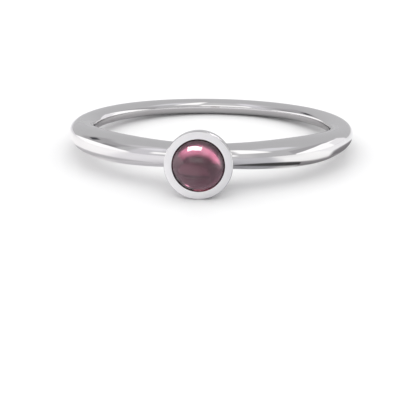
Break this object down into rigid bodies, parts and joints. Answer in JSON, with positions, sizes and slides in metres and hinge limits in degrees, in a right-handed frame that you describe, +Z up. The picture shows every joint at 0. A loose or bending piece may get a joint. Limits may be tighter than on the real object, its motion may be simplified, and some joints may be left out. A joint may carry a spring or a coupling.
{
  "type": "stackable ring",
  "caption": "Slim white metal ring with thick shoulders, a thin back and a round rubbed-over collar holding a domed rose stone.",
  "frame": {"origin": "bottom centre of the ring's box as it lies on its side, on the surface it rests on", "axes": "-Y towards the setting, +Z up, the finger hole's axis 5.0 degrees off +Z towards +Y"},
  "size_m": [0.0206, 0.0232, 0.0048],
  "materials": {
    "white_gold": "mirror-polished white gold, its flat rim finely brushed",
    "rose_stone": "polished rose-coloured garnet or tourmaline"
  },
  "bodies": {
    "root": {"shank_with_bezel": "white_gold", "cabochon": "rose_stone"}
  },
  "joints": []
}
